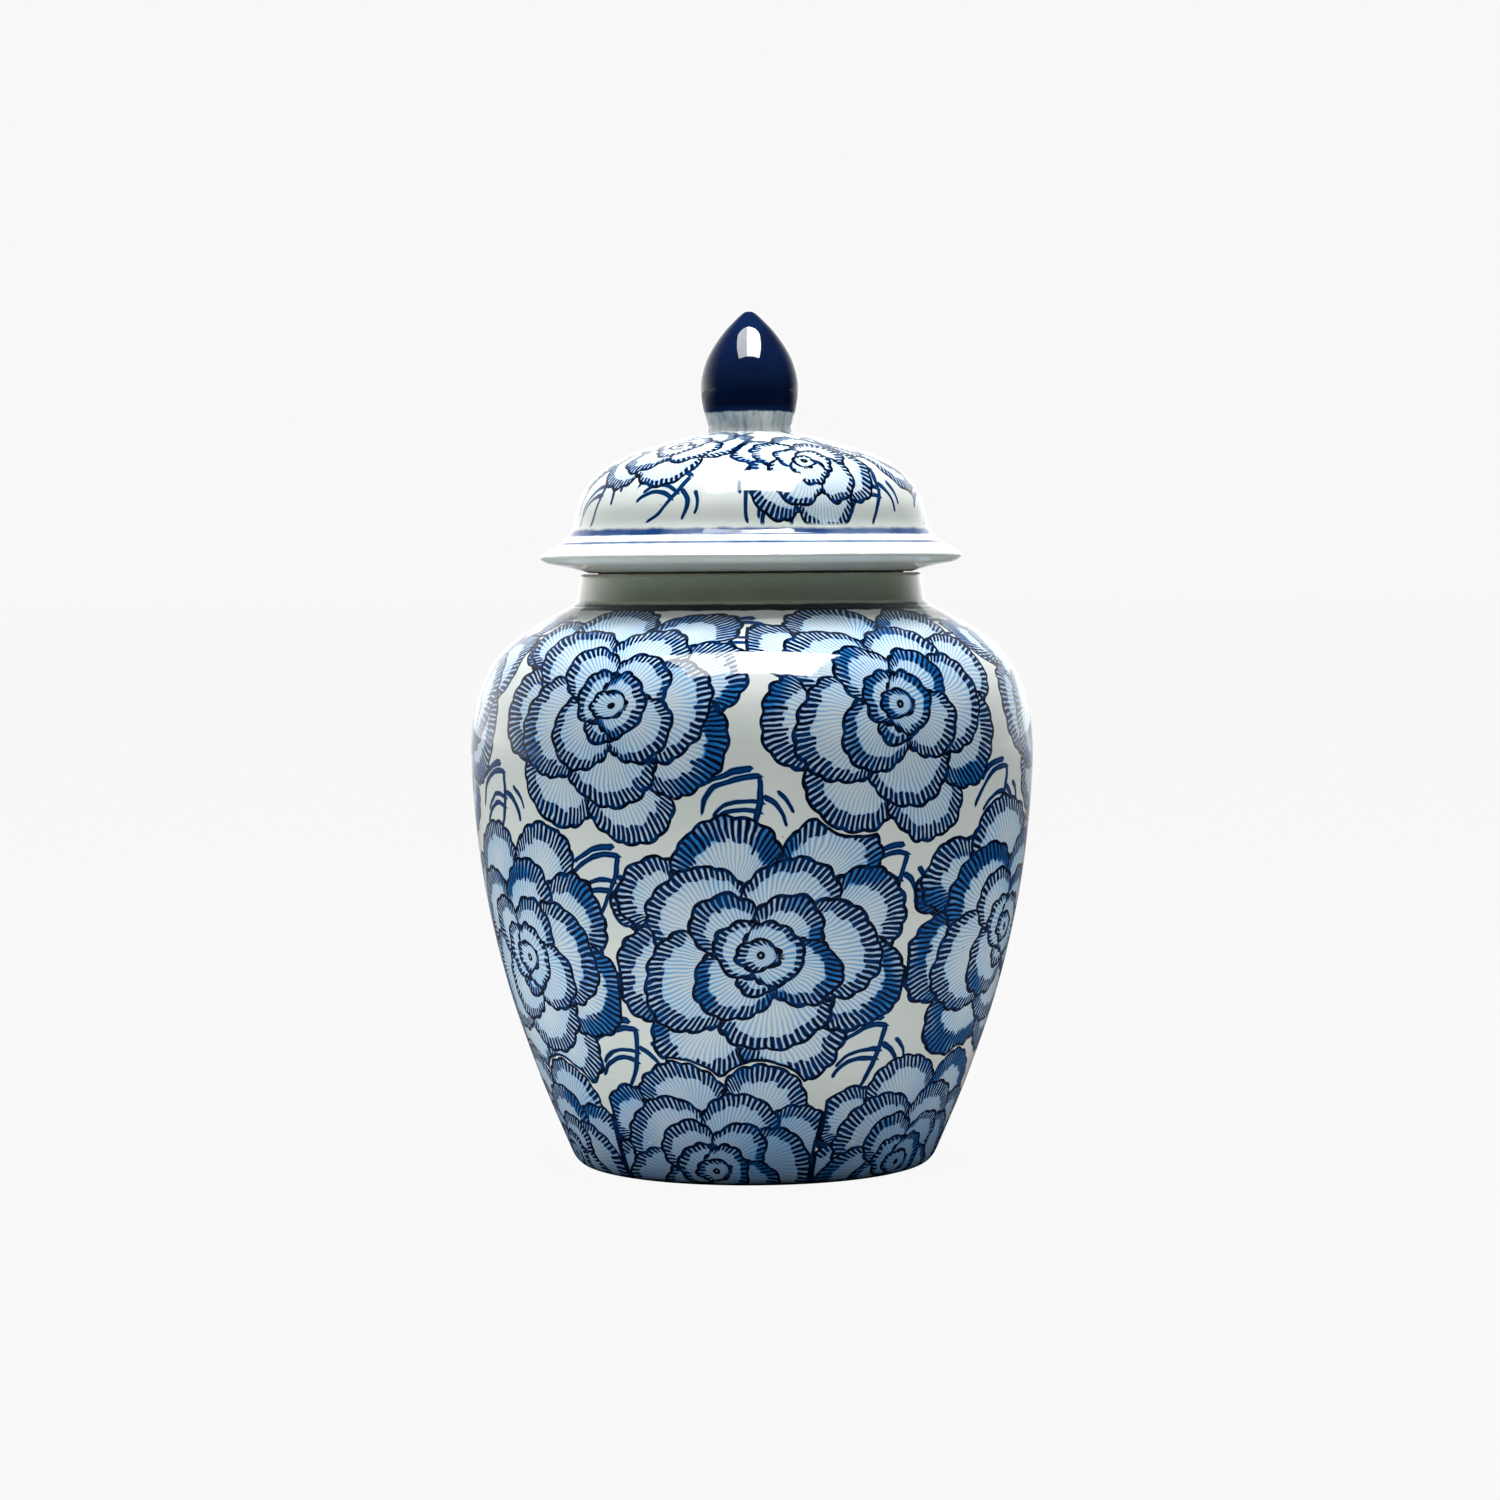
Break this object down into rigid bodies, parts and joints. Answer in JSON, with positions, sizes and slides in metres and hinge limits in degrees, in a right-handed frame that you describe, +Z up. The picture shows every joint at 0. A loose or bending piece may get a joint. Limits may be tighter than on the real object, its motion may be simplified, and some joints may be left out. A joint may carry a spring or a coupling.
{
  "type": "ginger jar",
  "caption": "Lidded porcelain ginger jar with a bulbous painted body, a short neck, a domed lid that lifts off and a bud finial.",
  "frame": {"origin": "centre of the ring on which the foot stands", "axes": "+Z up along the jar's axis; -Y faces the viewer, with a gap between two flowers of the upper row"},
  "size_m": [0.2001, 0.2002, 0.3028],
  "materials": {
    "painted_porcelain": "clear gloss glaze over cobalt painting on a white ground",
    "plain_glaze": "clear gloss glaze, faintly grey-green where it pools",
    "biscuit": "unglazed fired porcelain, dry and slightly warm in colour",
    "cobalt_glaze": "deep cobalt under a thick gloss glaze"
  },
  "bodies": {
    "jar": {"jar_body": "painted_porcelain", "neck_collar": "plain_glaze", "foot_ring": "biscuit"},
    "lid": {"lid_shell": "painted_porcelain", "lid_locating_ring": "plain_glaze", "lid_finial": "cobalt_glaze"}
  },
  "joints": [
    {"name": "lid_lift", "type": "slide", "parent": "jar", "child": "lid", "axis": [0, 0, 1], "range_m": [0, 0.12]}
  ]
}
